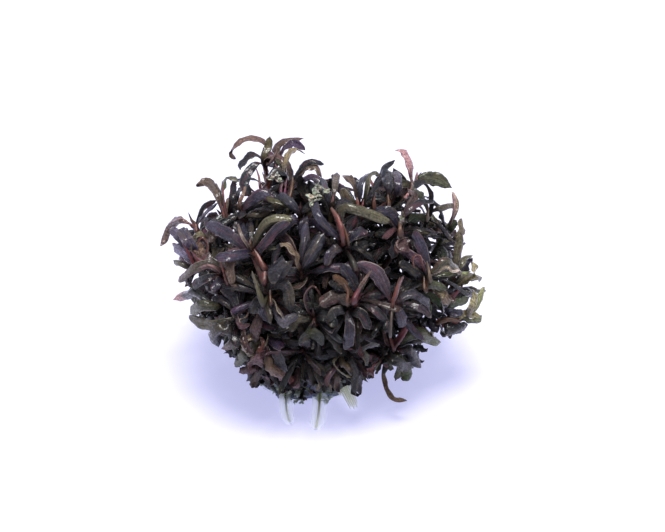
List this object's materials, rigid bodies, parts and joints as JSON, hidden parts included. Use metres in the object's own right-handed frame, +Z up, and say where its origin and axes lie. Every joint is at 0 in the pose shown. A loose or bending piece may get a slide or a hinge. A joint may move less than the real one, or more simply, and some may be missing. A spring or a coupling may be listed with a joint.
{
  "type": "bucephalandra plant clump",
  "caption": "Domed clump of a small aquarium plant: narrow dark arching leaves on short stems over a flat rhizome mat with a few hairy roots, standing on its mat.",
  "frame": {"origin": "middle of the flat underside of the rhizome mat, on the surface that the clump stands on", "axes": "+X to the right and -Y towards the viewer of the picture, +Z up"},
  "size_m": [0.135, 0.1074, 0.0981],
  "materials": {
    "leaf": "satin, waxy, dark violet-brown with olive and red-brown leaves",
    "rhizome": "matte, felted with fine grey-green root hair",
    "root_hair": "translucent white root hair over a pale green root"
  },
  "bodies": {
    "root": {"rhizome_mat": "rhizome", "root_back_left": "root_hair", "root_back_right": "root_hair", "root_front_left": "root_hair", "root_front_right": "root_hair", "root_stub": "root_hair", "shoot_back_01": "leaf", "shoot_back_02": "leaf", "shoot_back_03": "leaf", "shoot_back_04": "leaf", "shoot_back_05": "leaf", "shoot_back_06": "leaf", "shoot_back_07": "leaf", "shoot_back_08": "leaf", "shoot_back_09": "leaf", "shoot_back_10": "leaf", "shoot_back_11": "leaf", "shoot_back_12": "leaf", "shoot_back_13": "leaf", "shoot_back_14": "leaf", "shoot_back_15": "leaf", "shoot_back_16": "leaf", "shoot_back_17": "leaf", "shoot_back_18": "leaf", "shoot_bottom_left": "leaf", "shoot_centre": "leaf", "shoot_centre_left": "leaf", "shoot_centre_low": "leaf", "shoot_centre_red": "leaf", "shoot_centre_right": "leaf", "shoot_crest_left": "leaf", "shoot_far_right": "leaf", "shoot_far_right_top": "leaf", "shoot_front_centre": "leaf", "shoot_front_left": "leaf", "shoot_front_low": "leaf", "shoot_left_bottom": "leaf", "shoot_left_cup": "leaf", "shoot_left_low": "leaf", "shoot_left_mid": "leaf", "shoot_left_upper": "leaf", "shoot_mid_left": "leaf", "shoot_mid_stem": "leaf", "shoot_right_bud": "leaf", "shoot_right_fan": "leaf", "shoot_right_low": "leaf", "shoot_right_low_fan": "leaf", "shoot_right_mauve": "leaf", "shoot_right_pair": "leaf", "shoot_right_spear": "leaf", "shoot_right_top": "leaf", "shoot_right_trail": "leaf", "shoot_shoulder_left": "leaf", "shoot_top_left": "leaf", "shoot_top_mid": "leaf", "shoot_top_pair": "leaf", "shoot_upper_left": "leaf", "shoot_upper_mid": "leaf", "shoot_upper_right_stem": "leaf"}
  },
  "joints": []
}
